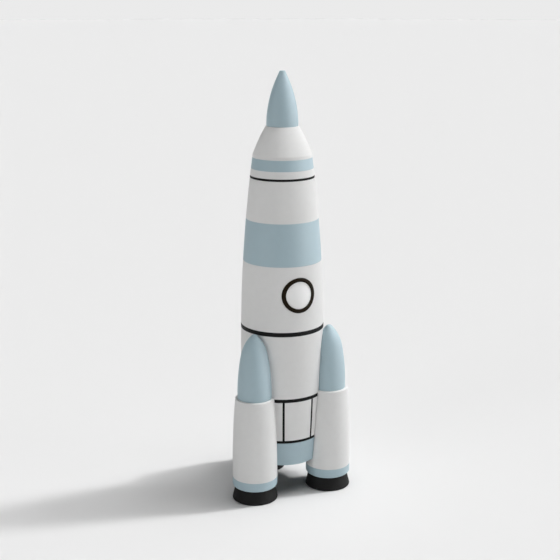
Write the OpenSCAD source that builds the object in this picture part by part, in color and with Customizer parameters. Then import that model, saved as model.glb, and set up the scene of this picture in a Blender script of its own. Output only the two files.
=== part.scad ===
// Barrel-bodied model rocket that stands on three side boosters.
// Heights are given above the ground. The origin is the centre of the motor tube's mouth.
// The porthole faces -Y and the rear booster stands on +Y.

/* [Body] */
// Largest radius of the barrel-shaped body
body_r = 33.1; // [32.6:0.1:33.6]
// Height of the body's widest station
belly_h = 119; // [114:1:124]
// Height of the shoulder, where the body curve meets the nose shroud
shoulder_h = 273; // [272:0.5:274]
// Radius of the body at the shoulder
shoulder_r = 22.95; // [22.5:0.05:23.4]
// Height of the body's lower edge
tail_h = 26.1; // [25.8:0.1:26.6]
// Wall thickness of the moulded shells
wall = 1.6; // [1.4:0.1:1.8]

/* [Bands and rings] */
// Height of the blue tail band's upper edge
tail_band_top = 45.4; // [44:0.2:46]
// Width of the thin black ring above the tail band
tail_ring_w = 2.2; // [1.6:0.2:2.6]
// Height of the engine bay's upper edge
bay_top = 80.3; // [79:0.1:81]
// Width of the black ring above the engine bay
bay_ring_w = 2.8; // [2.2:0.2:3.4]
// Height of the lower body shell's upper edge
lower_top = 134.6; // [133:0.2:136]
// Width of the black ring at the middle of the body
mid_ring_w = 3.4; // [2.8:0.2:4]
// Height of the wide blue band's lower edge
band_bottom = 189.6; // [188:0.2:191]
// Height of the wide blue band's upper edge
band_top = 222.8; // [221:0.2:224]
// Height of the upper shell's upper edge
upper_top = 254.9; // [254:0.1:255.4]
// Width of the thin black ring under the nose section
top_ring_w = 1.7; // [1.4:0.1:2]
// Height of the narrow blue nose band's lower edge
nose_band_bottom = 262.2; // [261.5:0.1:263]
// Height of the narrow blue nose band's upper edge
nose_band_top = 270.6; // [270:0.1:271.2]
// Width of the black seam strips on the engine bay
seam_w = 1.75; // [1.4:0.05:2]
// Angle of each seam strip from the middle of its bay
seam_angle = 22.6; // [21:0.2:24]

/* [Porthole] */
// Height of the porthole's centre
port_h = 167.1; // [164:0.1:168]
// Outer radius of the dark bezel
port_r = 13.9; // [13.4:0.1:14.2]
// Radius of the pane that shows inside the bezel
pane_r = 10.8; // [10.4:0.1:11]

/* [Nose] */
// Height of the nose shroud's neck, where the blue cone sits
neck_h = 294.5; // [293:0.1:296]
// Radius of the shroud's neck
neck_r = 12.85; // [12.6:0.05:13.1]
// Radius of the cone at its base
cone_r = 12.35; // [12.1:0.05:12.5]
// Height of the cone's flat tip, which is the height of the rocket
tip_h = 336.3; // [335:0.1:338]
// Radius of the cone's flat tip
tip_r = 1.8; // [1.5:0.1:2.2]
// Radius of the shroud's bulging outline
shroud_curve_r = 150; // [120:5:200]

/* [Boosters] */
// Distance of each booster's axis from the body's axis
booster_offset = 37.6; // [37.3:0.1:38]
// Largest radius of a booster
booster_r = 17.85; // [17.6:0.05:18.1]
// Height of a booster's widest station
booster_belly_h = 24; // [20:1:28]
// Height of the lip at the top of the white booster shell
lip_h = 84.5; // [83.5:0.1:85.5]
// Radius of that lip
lip_r = 15.35; // [15.1:0.05:15.6]
// Largest radius of the booster nose
booster_nose_r = 13.45; // [13.2:0.05:13.6]
// Height of the booster nose's widest station
booster_nose_belly_h = 88.5; // [87:0.5:90]
// Radius of the booster nose's outline below its tip
booster_nose_curve_r = 167; // [160:1:174]
// Radius of the outline at the tip
booster_tip_curve_r = 30; // [28:0.5:32]
// Height of the booster nose's tip
booster_tip_h = 136; // [135:0.1:137]
// Radius of the small flat at the tip
booster_tip_r = 1.6; // [1.4:0.1:1.8]
// Height of the blue band's upper edge on a booster
booster_band_top = 18.6; // [18:0.1:19.2]
// Height of the blue band's lower edge on a booster
booster_band_bottom = 10.8; // [10.4:0.1:11.2]
// Radius of the foot where it meets the ground
foot_r = 18.2; // [18:0.05:18.4]
// Radius of the foot under the band
foot_top_r = 15.7; // [15.2:0.1:16]

/* [Motor and launch rod] */
// Radius of the motor tube's bore
motor_bore_r = 12.2; // [12.15:0.05:12.3]
// Length of the motor tube
motor_tube_l = 70; // [70:1:72]
// Depth of the motor tube's mouth inside the tail
mouth_depth = 6.4; // [6.2:0.1:6.6]
// Radius of the launch lugs' bore
lug_bore_r = 2.6; // [2.5:0.05:2.7]
// Distance of the launch rod's axis from the body's axis
lug_offset = 37.2; // [37:0.1:38]

/* [Hidden] */

// Colours
blue = [0.68, 0.78, 0.82];
white = [0.93, 0.93, 0.92];
black = [0.1, 0.1, 0.1];
bronze = [0.16, 0.11, 0.07];
steel = [0.72, 0.73, 0.75];
brass = [0.78, 0.62, 0.3];
card = [0.76, 0.66, 0.5];
ply = [0.82, 0.7, 0.5];
cloth = [0.9, 0.45, 0.12];

// Gap between faces that are glued or plugged together
fit_gap = 0.05;
// Height of the motor tube's mouth, which is the origin
mouth_h = tail_h + mouth_depth;
// Radius of the arc that is the body's outline
body_rise = body_r - shoulder_r;
body_curve_r = (pow(shoulder_h - belly_h, 2) + body_rise * body_rise) / (2 * body_rise);
// Facets of the long outline arcs and of everything turned
arc_facets = 720;
turn_facets = 128;
small_facets = 48;

// Height of each black ring's upper edge
tail_ring_top = tail_band_top + tail_ring_w;
bay_ring_top = bay_top + bay_ring_w;
mid_ring_top = lower_top + mid_ring_w;
top_ring_top = upper_top + top_ring_w;
// Depth of the black rings' sleeves inside their neighbours, and the sleeves' thickness
sleeve_l = 6;
sleeve_t = 1.4;

// Nose cone's outline: an arc that is upright at the base
cone_h = tip_h - neck_h;
cone_taper = cone_r - tip_r;
cone_curve_r = (cone_h * cone_h + cone_taper * cone_taper) / (2 * cone_taper);
// Shroud's outline: an arc through the shoulder and the neck, bulging outwards
shroud_chord = [neck_r - shoulder_r, neck_h - shoulder_h];
shroud_half = norm(shroud_chord) / 2;
shroud_out = [shroud_chord[1], -shroud_chord[0]] / norm(shroud_chord);
shroud_mid = [(neck_r + shoulder_r) / 2, (neck_h + shoulder_h) / 2];
shroud_centre = shroud_mid
    - shroud_out * sqrt(shroud_curve_r * shroud_curve_r - shroud_half * shroud_half);
// Cone's spigot and the neck that takes it
spigot_r = 10.9;
spigot_l = 8;

// Recovery tube, and the nose coupler that slides in it
bay_bore_r = 20.25;
bay_tube_r = 20.8;
bay_tube_bottom = 147.2;
coupler_r = 20.15;
coupler_t = 1.2;
coupler_bottom = 229;
nose_gap = 0.05;

// Booster outlines
booster_drop = booster_r - lip_r;
booster_curve_r = (pow(lip_h - booster_belly_h, 2) + booster_drop * booster_drop)
    / (2 * booster_drop);
lip_round = 1.3;
lip_t = 1.9;
// Booster nose outline: centres of its two arcs, which meet without a corner at join_h
nose_arc = [booster_nose_r - booster_nose_curve_r, booster_nose_belly_h];
to_tip = [booster_tip_r, booster_tip_h] - nose_arc;
arc_gap = booster_nose_curve_r - booster_tip_curve_r;
arc_along = (arc_gap * arc_gap - booster_tip_curve_r * booster_tip_curve_r + to_tip * to_tip)
    / (2 * norm(to_tip));
arc_aside = sqrt(arc_gap * arc_gap - arc_along * arc_along);
tip_arc = nose_arc
    + (to_tip * arc_along + [to_tip[1], -to_tip[0]] * arc_aside) / norm(to_tip);
join_angle = atan2(tip_arc[1] - nose_arc[1], tip_arc[0] - nose_arc[0]);
join_h = nose_arc[1] + booster_nose_curve_r * sin(join_angle);
tip_angle = asin((booster_tip_h - tip_arc[1]) / booster_tip_curve_r);
tip_steps = 8;
booster_angles = [90, 210, 330];
saddle_t = 1.45;
booster_spigot_r = 11.9;
booster_screw_heights = [60, 68];
booster_screw_seat = 29.8;
foot_round = 0.9;
band_round = 2.2;

// Fasteners: M3 shanks, and the bores that they are driven into or turn in
screw_r = 1.5;
pilot_r = 1.53;
clear_r = 1.65;
head_r = 2.7;
head_h = 1.8;
socket_r = 1.25;

// Motor mount
motor_tube_r = motor_bore_r + 1;
tail_plate_h = mouth_h + 1;
plate_t = 3;
clip_angles = [30, 150, 270];
clip_pivot = 19;
clip_reach = 9.3;
clip_w = 5;
clip_t = 1;
clip_drop = 0.5;
clip_hole_r = screw_r + 0.05;

// Launch lugs
lug_angle = 30;
lug_r = 3.5;
lug_l = 24;
lug_web = 2.4;
lug_heights = [97, 159];

// Moves heights above the ground into the rocket's frame
module placed() {
    translate([0, 0, -mouth_h]) children();
}

// Disc whose right-hand rim is the body's outline, pulled in by inset
module body_disc(inset) {
    translate([body_r - body_curve_r, belly_h])
        circle(r = body_curve_r - inset, $fn = arc_facets);
}

// Rectangle between two heights and two radii
module band_2d(low, high, inner = 0, outer = 60) {
    translate([inner, low]) square([outer - inner, high - low]);
}

// Outline of body wall between two heights, and between two insets from the surface
module wall_2d(low, high, outer_inset, inner_inset) {
    intersection() {
        difference() {
            body_disc(outer_inset);
            body_disc(inner_inset);
        }
        band_2d(low, high, 5);
    }
}

// Ring of body wall
module wall_ring(low, high, outer_inset = 0, inner_inset = wall) {
    rotate_extrude($fn = turn_facets) wall_2d(low, high, outer_inset, inner_inset);
}

// Solid slice of the body
module body_slab(low, high, inset) {
    rotate_extrude($fn = turn_facets) intersection() {
        body_disc(inset);
        band_2d(low, high);
    }
}

// Plain turned ring
module tube(low, high, inner, outer, facets = turn_facets) {
    rotate_extrude($fn = facets) band_2d(low, high, inner, outer);
}

// Black ring between two shells, with a sleeve that plugs into both
module trim_ring(low, high) {
    rotate_extrude($fn = turn_facets) {
        wall_2d(low, high, 0, wall + sleeve_t);
        wall_2d(low - sleeve_l, high + sleeve_l, wall + fit_gap, wall + sleeve_t);
    }
}

// Disc across the body, round a tube
module centering_disc(low, inner) {
    difference() {
        body_slab(low, low + plate_t, wall + fit_gap);
        translate([0, 0, low - 1]) cylinder(r = inner, h = plate_t + 2, $fn = turn_facets);
    }
}

// Socket-head screw pointing up, with its head's underside at the origin
module screw(shank_l) {
    cylinder(r = screw_r, h = shank_l, $fn = small_facets);
    difference() {
        translate([0, 0, -head_h]) cylinder(r = head_r, h = head_h, $fn = small_facets);
        translate([0, 0, -head_h - 1]) cylinder(r = socket_r, h = 2, $fn = 6);
    }
}

// ---------------------------------------------------------------- nose section

// Disc whose right-hand rim is the cone's outline
module cone_disc(inset) {
    translate([cone_r - cone_curve_r, neck_h])
        circle(r = cone_curve_r - inset, $fn = arc_facets);
}

// Hollow blue cone, with a spigot for the neck and a post for the ballast screw
module nose_cone() {
    post_r = 3.2;
    post_bottom = neck_h + 2;
    color(blue) placed() difference() {
        rotate_extrude($fn = turn_facets) {
            intersection() {
                difference() {
                    cone_disc(0);
                    intersection() {
                        cone_disc(wall);
                        band_2d(neck_h - 1, tip_h - 12);
                    }
                }
                band_2d(neck_h, tip_h);
            }
            intersection() {
                cone_disc(wall / 2);
                band_2d(post_bottom, tip_h - 10, 0, post_r);
            }
            band_2d(neck_h - spigot_l, neck_h + 1, spigot_r - 1.2, spigot_r);
        }
        translate([0, 0, post_bottom - 1]) cylinder(r = pilot_r, h = 13, $fn = small_facets);
    }
}

// Outline of the shroud, pulled in by inset
module shroud_2d(inset) {
    intersection() {
        body_disc(inset);
        translate(shroud_centre) circle(r = shroud_curve_r - inset, $fn = arc_facets);
    }
}

// White shroud that flares from the neck to the body
module nose_shroud() {
    neck_round = 0.5;
    color(white) placed() rotate_extrude($fn = turn_facets) {
        intersection() {
            difference() {
                shroud_2d(0);
                shroud_2d(wall);
            }
            band_2d(nose_band_top, neck_h - neck_round, 5);
        }
        intersection() {
            shroud_2d(0);
            band_2d(neck_h - spigot_l, neck_h - neck_round, spigot_r + fit_gap);
        }
        band_2d(neck_h - neck_round - 1, neck_h, spigot_r + fit_gap, neck_r - neck_round);
        translate([neck_r - neck_round, neck_h - neck_round])
            circle(r = neck_round, $fn = small_facets);
    }
}

module nose_band() {
    color(blue) placed() wall_ring(nose_band_bottom, nose_band_top);
}

// White collar at the base of the nose section: it carries the coupler and the nose's sleeve
module nose_collar() {
    low = top_ring_top + nose_gap;
    web_t = 1.8;
    color(white) placed() rotate_extrude($fn = turn_facets) {
        wall_2d(low, nose_band_bottom, 0, wall + 1);
        wall_2d(low, nose_band_top + 1.5, wall + fit_gap, wall + sleeve_t);
        intersection() {
            body_disc(wall / 2);
            band_2d(low, low + web_t, coupler_r - coupler_t);
        }
        band_2d(coupler_bottom, low + web_t, coupler_r - coupler_t, coupler_r);
    }
}

// Disc that closes the coupler and holds the eyelet
module nose_bulkhead() {
    color(ply) placed()
        tube(coupler_bottom + 1, coupler_bottom + 4, pilot_r, coupler_r - coupler_t - fit_gap);
}

// Wire eyelet under the bulkhead
module nose_eyelet() {
    eye_r = 3.6;
    wire_r = 0.9;
    eye_h = coupler_bottom - 6.4;
    seat_h = coupler_bottom + 1;
    color(steel) placed() {
        translate([0, 0, eye_h]) rotate([90, 0, 0])
            rotate_extrude($fn = small_facets) translate([eye_r, 0]) circle(r = wire_r, $fn = 24);
        translate([0, 0, eye_h + eye_r])
            cylinder(r = screw_r, h = seat_h + 6.5 - eye_h - eye_r, $fn = small_facets);
        translate([0, 0, seat_h - 0.9]) cylinder(r = 3, h = 0.9, $fn = small_facets);
    }
}

module eyelet_nut() {
    color(steel) placed() translate([0, 0, coupler_bottom + 4]) difference() {
        cylinder(r = 3.2, h = 2.4, $fn = 6);
        translate([0, 0, -1]) cylinder(r = pilot_r, h = 5, $fn = small_facets);
    }
}

// Height of the ballast's underside, where its screw's head bears
weight_bottom = neck_h - 14;

// Brass ballast in the nose
module nose_weight() {
    color(brass) placed() tube(weight_bottom, neck_h + 1.9, pilot_r, spigot_r - 1.4);
}

module nose_weight_screw() {
    color(steel) placed() translate([0, 0, weight_bottom]) screw(neck_h + 12 - weight_bottom);
}

// ---------------------------------------------------------------- airframe shells

// Black ring at the mouth of the airframe, with a sleeve that plugs down into the upper shell
module top_ring() {
    color(black) placed() rotate_extrude($fn = turn_facets) {
        intersection() {
            body_disc(0);
            band_2d(upper_top, top_ring_top, bay_bore_r);
        }
        wall_2d(upper_top - sleeve_l, upper_top + 0.5, wall + fit_gap, wall + sleeve_t);
    }
}

module upper_shell() {
    color(white) placed() wall_ring(band_top, upper_top);
}

module body_band() {
    color(blue) placed() wall_ring(band_bottom, band_top);
}

// Round bar through the porthole, along Y
module port_bar(radius) {
    translate([0, -20, port_h]) rotate([90, 0, 0])
        cylinder(r = radius, h = 20, $fn = turn_facets);
}

// Piece of a ring of body wall round the porthole, between two radii
module port_ring(inner, outer, outer_inset, inner_inset) {
    reach = port_r + 4;
    difference() {
        intersection() {
            wall_ring(port_h - reach, port_h + reach, outer_inset, inner_inset);
            port_bar(outer);
        }
        port_bar(inner);
    }
}

// Depth of the recess that the bezel's flange lies in
port_recess = 0.8;
// Radius of the hole through the shell
port_hole_r = 12.2;

module window_shell() {
    color(white) placed() difference() {
        wall_ring(mid_ring_top, band_bottom);
        port_bar(port_hole_r);
        difference() {
            port_bar(port_r + fit_gap);
            body_slab(port_h - 20, port_h + 20, port_recess);
        }
    }
}

// How far the bezel stands proud of the shell
port_proud = 0.6;

// Dark bezel: a flange in the recess and a barrel through the shell
module porthole_bezel() {
    color(bronze) placed() {
        port_ring(pane_r, port_r, -port_proud, port_recess - 0.02);
        port_ring(pane_r, port_hole_r - fit_gap, 0.4, wall + 1.5);
    }
}

module porthole_pane() {
    reach = port_r + 4;
    color(white) placed() intersection() {
        wall_ring(port_h - reach, port_h + reach, 0.1, 1.5);
        port_bar(pane_r - fit_gap);
    }
}

// Snap ring that holds the bezel from inside
module porthole_clip() {
    color(steel) placed() port_ring(port_hole_r, port_r + 1, wall + fit_gap, wall + 1);
}

module mid_ring() {
    color(black) placed() trim_ring(lower_top, mid_ring_top);
}

module lower_shell() {
    color(white) placed() wall_ring(bay_ring_top, lower_top);
}

module bay_ring() {
    color(black) placed() trim_ring(bay_top, bay_ring_top);
}

// Two upright bars in each gap between boosters, where the seams are
module seam_bars(width) {
    for (gap = [270, 30, 150]) {
        for (side = [-1, 1]) {
            rotate(gap + side * seam_angle)
                translate([20, -width / 2, tail_ring_top]) cube([20, width, bay_top - tail_ring_top]);
        }
    }
}

module booster_screw_bores(radius, start) {
    for (angle = booster_angles) {
        for (height = booster_screw_heights) {
            rotate(angle) translate([start, 0, height]) rotate([0, 90, 0])
                cylinder(r = radius, h = 10, $fn = small_facets);
        }
    }
}

// Depth of the grooves for the seam strips
seam_depth = 0.8;

module engine_bay_shell() {
    color(white) placed() difference() {
        wall_ring(tail_ring_top, bay_top);
        difference() {
            seam_bars(seam_w + 2 * fit_gap);
            body_slab(tail_ring_top - 1, bay_top + 1, seam_depth);
        }
        booster_screw_bores(clear_r, 26);
    }
}

module seam_strips() {
    color(black) placed() intersection() {
        wall_ring(tail_ring_top, bay_top, 0, seam_depth - 0.02);
        seam_bars(seam_w);
    }
}

module tail_ring() {
    color(black) placed() trim_ring(tail_band_top, tail_ring_top);
}

module tail_band() {
    color(blue) placed() wall_ring(tail_h, tail_band_top);
}

// ---------------------------------------------------------------- recovery bay

module recovery_tube() {
    color(card) placed() tube(bay_tube_bottom, upper_top, bay_bore_r, bay_tube_r);
}

module forward_centering_ring() {
    color(ply) placed() centering_disc(234, bay_tube_r + fit_gap);
}

// Floor of the recovery bay, which the tube stands in
module mid_centering_ring() {
    color(ply) placed() difference() {
        centering_disc(mid_ring_top + sleeve_l + 0.2, bay_bore_r - 2);
        translate([0, 0, bay_tube_bottom - 1.5])
            cylinder(r = bay_tube_r + fit_gap, h = 3, $fn = turn_facets);
    }
}

// Vented disc that keeps hot gas off the parachute
module ejection_baffle() {
    vents = 6;
    color(steel) placed() difference() {
        tube(bay_tube_bottom, bay_tube_bottom + 1.5, 2.5, bay_bore_r - fit_gap);
        for (turn = [0 : vents - 1]) {
            rotate(turn * 360 / vents) translate([11.5, 0, bay_tube_bottom - 1])
                cylinder(r = 3, h = 4, $fn = small_facets);
        }
    }
}

// Rolled parachute that stands on the baffle
module recovery_chute() {
    color(cloth) placed() tube(bay_tube_bottom + 1.6, bay_tube_bottom + 52, 3, 18);
}

// ---------------------------------------------------------------- motor mount

module motor_tube() {
    color(card) placed() tube(mouth_h, mouth_h + motor_tube_l, motor_bore_r, motor_tube_r);
}

// Stop at the front of the motor tube
module thrust_ring() {
    color(ply) placed() tube(mouth_h + motor_tube_l, mouth_h + motor_tube_l + 4, 9.5, motor_tube_r);
}

module motor_centering_ring() {
    color(ply) placed() centering_disc(92, motor_tube_r + fit_gap);
}

// Plate inside the tail, with a boss under each motor clip
module tail_plate() {
    boss_r = 3.2;
    color(black) placed() difference() {
        union() {
            centering_disc(tail_plate_h, motor_tube_r + fit_gap);
            for (angle = clip_angles) {
                rotate(angle) translate([clip_pivot, 0, mouth_h - clip_drop + fit_gap])
                    cylinder(r = boss_r, h = 2, $fn = small_facets);
            }
        }
        for (angle = clip_angles) {
            rotate(angle) translate([clip_pivot, 0, mouth_h - 2])
                cylinder(r = pilot_r, h = plate_t + 2, $fn = small_facets);
        }
    }
}

// Pivot screws of the motor clips
module clip_screws() {
    color(steel) placed() for (angle = clip_angles) {
        rotate(angle) translate([clip_pivot, 0, mouth_h - clip_drop - clip_t - fit_gap])
            screw(plate_t + 1.4);
    }
}

// Flat clip on its screw, swung clear of the motor tube's mouth
module motor_clip(angle) {
    color(steel) placed() rotate(angle)
        translate([clip_pivot, 0, mouth_h - clip_drop - clip_t]) difference() {
            union() {
                cylinder(r = clip_w / 2 + 0.6, h = clip_t, $fn = small_facets);
                translate([-clip_w / 2, 0, 0]) cube([clip_w, clip_reach - clip_w / 2, clip_t]);
                translate([0, clip_reach - clip_w / 2, 0])
                    cylinder(r = clip_w / 2, h = clip_t, $fn = small_facets);
            }
            translate([0, 0, -1]) cylinder(r = clip_hole_r, h = clip_t + 2, $fn = small_facets);
        }
}

// ---------------------------------------------------------------- launch lugs

// Tube for the launch rod, on a web that meets the body
module launch_lug(height) {
    color(white) placed() difference() {
        rotate(lug_angle) difference() {
            union() {
                translate([lug_offset, 0, height]) cylinder(r = lug_r, h = lug_l, $fn = turn_facets);
                translate([28, -lug_web / 2, height]) cube([lug_offset - 28, lug_web, lug_l]);
            }
            translate([lug_offset, 0, height - 1])
                cylinder(r = lug_bore_r, h = lug_l + 2, $fn = turn_facets);
        }
        body_slab(height - 2, height + lug_l + 2, -fit_gap);
    }
}

// ---------------------------------------------------------------- boosters

// The body, grown by a margin, as the boosters are cut to fit it
module body_core(margin) {
    body_slab(tail_h - margin, booster_tip_h + 5, -margin);
}

// Puts a booster part on its axis
module at_booster(index) {
    rotate(booster_angles[index - 1]) translate([booster_offset, 0, 0]) children();
}

// Turned booster skin, hollowed out and cut to the body, with a wall where they meet
module coped(index) {
    difference() {
        at_booster(index) rotate_extrude($fn = turn_facets) children(0);
        body_core(fit_gap);
        difference() {
            at_booster(index) rotate_extrude($fn = turn_facets) children(1);
            body_core(saddle_t);
        }
    }
}

// Long lower arc of the booster nose, pulled in by inset
module nose_arc_2d(inset) {
    intersection() {
        translate(nose_arc) circle(r = booster_nose_curve_r - inset, $fn = arc_facets);
        band_2d(lip_h, join_h);
    }
}

// Tip of the booster nose: short cones that follow its tighter arc
module nose_tip_2d() {
    rise = (tip_angle - join_angle) / tip_steps;
    polygon([
        [0, join_h - 1],
        [booster_tip_r, join_h - 1],
        for (i = [0:tip_steps]) tip_arc + booster_tip_curve_r
            * [cos(join_angle + i * rise), sin(join_angle + i * rise)],
        [0, booster_tip_h]
    ]);
}

// Blue booster nose with a solid tip, and a spigot that plugs into the shell
module booster_nose(index) {
    spigot_bottom = lip_h - lip_t - 3;
    color(blue) placed() difference() {
        union() {
            difference() {
                at_booster(index) rotate_extrude($fn = turn_facets) {
                    nose_arc_2d(0);
                    nose_tip_2d();
                }
                body_core(fit_gap);
            }
            difference() {
                at_booster(index) rotate_extrude($fn = turn_facets)
                    band_2d(spigot_bottom, lip_h + wall, 0, booster_spigot_r);
                body_core(saddle_t + fit_gap);
            }
        }
        difference() {
            at_booster(index) rotate_extrude($fn = turn_facets) {
                nose_arc_2d(wall);
                band_2d(spigot_bottom - 1, lip_h + 1, 0, booster_spigot_r - 1.2);
            }
            body_core(saddle_t + wall);
        }
    }
}

// Outline of the white booster shell, pulled in by inset
module booster_disc(inset) {
    translate([booster_r - booster_curve_r, booster_belly_h])
        circle(r = booster_curve_r - inset, $fn = arc_facets);
}

// White booster shell with two screw posts on its saddle wall
module booster_shell(index) {
    post_r = 3.4;
    post_end = 42;
    color(white) placed() difference() {
        union() {
            coped(index) {
                union() {
                    intersection() {
                        booster_disc(0);
                        band_2d(booster_band_top, lip_h - lip_round);
                    }
                    band_2d(booster_band_top, lip_h, 0, lip_r - lip_round);
                    translate([lip_r - lip_round, lip_h - lip_round])
                        circle(r = lip_round, $fn = small_facets);
                }
                union() {
                    intersection() {
                        booster_disc(wall);
                        band_2d(booster_band_top - 1, lip_h - lip_t);
                    }
                    band_2d(lip_h - lip_t - 1, lip_h + 1, 0, booster_spigot_r + fit_gap);
                }
            }
            difference() {
                for (height = booster_screw_heights) {
                    rotate(booster_angles[index - 1]) translate([30, 0, height]) rotate([0, 90, 0])
                        cylinder(r = post_r, h = post_end - 30, $fn = small_facets);
                }
                body_core(fit_gap);
            }
        }
        booster_screw_bores(pilot_r, 31);
    }
}

// Blue cup that closes the bottom of the booster
module booster_band(index) {
    color(blue) placed() at_booster(index) rotate_extrude($fn = turn_facets) difference() {
        union() {
            band_2d(booster_band_bottom + band_round, booster_band_top, 0, booster_r);
            band_2d(booster_band_bottom, booster_band_top, 0, booster_r - band_round);
            translate([booster_r - band_round, booster_band_bottom + band_round])
                circle(r = band_round, $fn = small_facets);
        }
        band_2d(booster_band_bottom + wall, booster_band_top + 1, 0, booster_r - wall - 0.6);
        band_2d(booster_band_bottom - 1, booster_band_top, 0, clear_r);
    }
}

// Flared rubber foot
module booster_foot(index) {
    color(black) placed() at_booster(index) rotate_extrude($fn = turn_facets) difference() {
        union() {
            polygon([
                [0, 0], [foot_r - foot_round, 0], [foot_r, foot_round],
                [foot_top_r, booster_band_bottom], [0, booster_band_bottom]
            ]);
            translate([foot_r - foot_round, foot_round]) circle(r = foot_round, $fn = small_facets);
        }
        band_2d(-1, 1.2, 0, foot_r - 5);
        band_2d(-1, 4.4, 0, head_r + 0.4);
        band_2d(-1, booster_band_bottom + 1, 0, clear_r);
    }
}

// Disc with a hub inside the booster, which the foot screw pulls against
module booster_plate(index) {
    low = booster_band_bottom + wall;
    color(ply) placed() at_booster(index) rotate_extrude($fn = turn_facets) difference() {
        union() {
            band_2d(low, low + 13, 0, 4);
            band_2d(booster_band_top + 0.1, booster_band_top + 2.5, 0, booster_r - wall - 0.3);
        }
        band_2d(low - 1, low + 11.5, 0, pilot_r);
    }
}

// Screws that hold the boosters, driven from inside the engine bay
module booster_screws() {
    color(steel) placed() for (angle = booster_angles) {
        for (height = booster_screw_heights) {
            rotate(angle) translate([booster_screw_seat, 0, height]) rotate([0, 90, 0]) screw(11);
        }
    }
}

// Screws that hold the feet and bands, driven from below
module foot_screws() {
    color(steel) placed() for (index = [1 : 3]) {
        at_booster(index) translate([0, 0, 4.4]) screw(18);
    }
}

nose_cone();
nose_shroud();
nose_band();
nose_collar();
nose_bulkhead();
nose_eyelet();
eyelet_nut();
nose_weight();
nose_weight_screw();
top_ring();
upper_shell();
body_band();
window_shell();
porthole_bezel();
porthole_pane();
porthole_clip();
mid_ring();
lower_shell();
bay_ring();
engine_bay_shell();
seam_strips();
tail_ring();
tail_band();
recovery_tube();
forward_centering_ring();
mid_centering_ring();
ejection_baffle();
recovery_chute();
motor_tube();
thrust_ring();
motor_centering_ring();
tail_plate();
clip_screws();
motor_clip(clip_angles[0]);  // motor_clip_1
motor_clip(clip_angles[1]);  // motor_clip_2
motor_clip(clip_angles[2]);  // motor_clip_3
launch_lug(lug_heights[1]);  // launch_lug_upper
launch_lug(lug_heights[0]);  // launch_lug_lower
booster_nose(1);  // booster_nose_1
booster_nose(2);  // booster_nose_2
booster_nose(3);  // booster_nose_3
booster_shell(1);  // booster_shell_1
booster_shell(2);  // booster_shell_2
booster_shell(3);  // booster_shell_3
booster_band(1);  // booster_band_1
booster_band(2);  // booster_band_2
booster_band(3);  // booster_band_3
booster_foot(1);  // booster_foot_1
booster_foot(2);  // booster_foot_2
booster_foot(3);  // booster_foot_3
booster_plate(1);  // booster_plate_1
booster_plate(2);  // booster_plate_2
booster_plate(3);  // booster_plate_3
booster_screws();
foot_screws();
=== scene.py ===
"""Looks of the model rocket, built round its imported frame. Lengths in the profiles are millimetres."""

import math

import bmesh
import bpy
from mathutils import Matrix, Vector


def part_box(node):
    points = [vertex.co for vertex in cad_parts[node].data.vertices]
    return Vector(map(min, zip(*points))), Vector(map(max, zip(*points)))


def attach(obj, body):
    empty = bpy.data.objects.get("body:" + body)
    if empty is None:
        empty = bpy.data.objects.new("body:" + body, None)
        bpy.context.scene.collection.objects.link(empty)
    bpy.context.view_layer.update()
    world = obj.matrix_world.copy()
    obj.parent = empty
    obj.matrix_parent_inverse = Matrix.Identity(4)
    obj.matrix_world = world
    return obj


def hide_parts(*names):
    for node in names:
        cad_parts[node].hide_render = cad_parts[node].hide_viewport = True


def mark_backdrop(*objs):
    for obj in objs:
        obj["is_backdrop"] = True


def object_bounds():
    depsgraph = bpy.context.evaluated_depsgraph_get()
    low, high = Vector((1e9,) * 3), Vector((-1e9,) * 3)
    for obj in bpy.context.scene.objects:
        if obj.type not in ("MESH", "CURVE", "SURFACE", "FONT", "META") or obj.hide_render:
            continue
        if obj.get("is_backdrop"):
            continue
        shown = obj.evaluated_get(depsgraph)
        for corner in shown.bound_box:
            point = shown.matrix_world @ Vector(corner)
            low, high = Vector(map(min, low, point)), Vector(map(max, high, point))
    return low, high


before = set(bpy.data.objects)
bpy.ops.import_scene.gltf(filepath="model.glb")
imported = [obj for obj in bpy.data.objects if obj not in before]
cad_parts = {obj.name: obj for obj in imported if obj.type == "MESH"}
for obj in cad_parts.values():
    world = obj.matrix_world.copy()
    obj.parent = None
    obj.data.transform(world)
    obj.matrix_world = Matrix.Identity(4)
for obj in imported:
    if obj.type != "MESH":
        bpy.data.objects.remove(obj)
cad_low, cad_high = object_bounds()
MM = 0.001
FACETS = 192        # round a turned piece
AIRFRAME = "airframe"
NOSE = "nose_section"


def zs(node):
    """Lowest and highest z of a CAD node, in millimetres."""
    low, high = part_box(node)
    return low.z / MM, high.z / MM


def link_object(name, data):
    """New object in the scene."""
    made = bpy.data.objects.new(name, data)
    bpy.context.collection.objects.link(made)
    return made


GROUND = zs("booster_foot_1")[0]
TAIL = zs("tail_band")[0]
TIP = zs("nose_cone")[1]

# ------------------------------------------------------------------ camera, floor and light

AZIMUTH = math.radians(-24.63)
PITCH = math.radians(14.31)
# In metres: back from the object's axis, to its right, and above the floor
DISTANCE, SIDE_STEP, EYE = 0.8864, -0.00177, 0.3982
forward = Vector((-math.sin(AZIMUTH), math.cos(AZIMUTH), 0))
right = Vector((math.cos(AZIMUTH), math.sin(AZIMUTH), 0))
lens = bpy.data.cameras.new("camera")
lens.lens = 73.99
lens.sensor_width = 36
lens.clip_start, lens.clip_end = 0.05, 100
camera = link_object("camera", lens)
camera.location = -DISTANCE * forward + SIDE_STEP * right + Vector((0, 0, EYE + GROUND * MM))
camera.rotation_euler = (math.pi / 2 - PITCH, 0, AZIMUTH)
bpy.context.scene.camera = camera
bpy.context.scene.view_settings.view_transform = "Standard"

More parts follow.
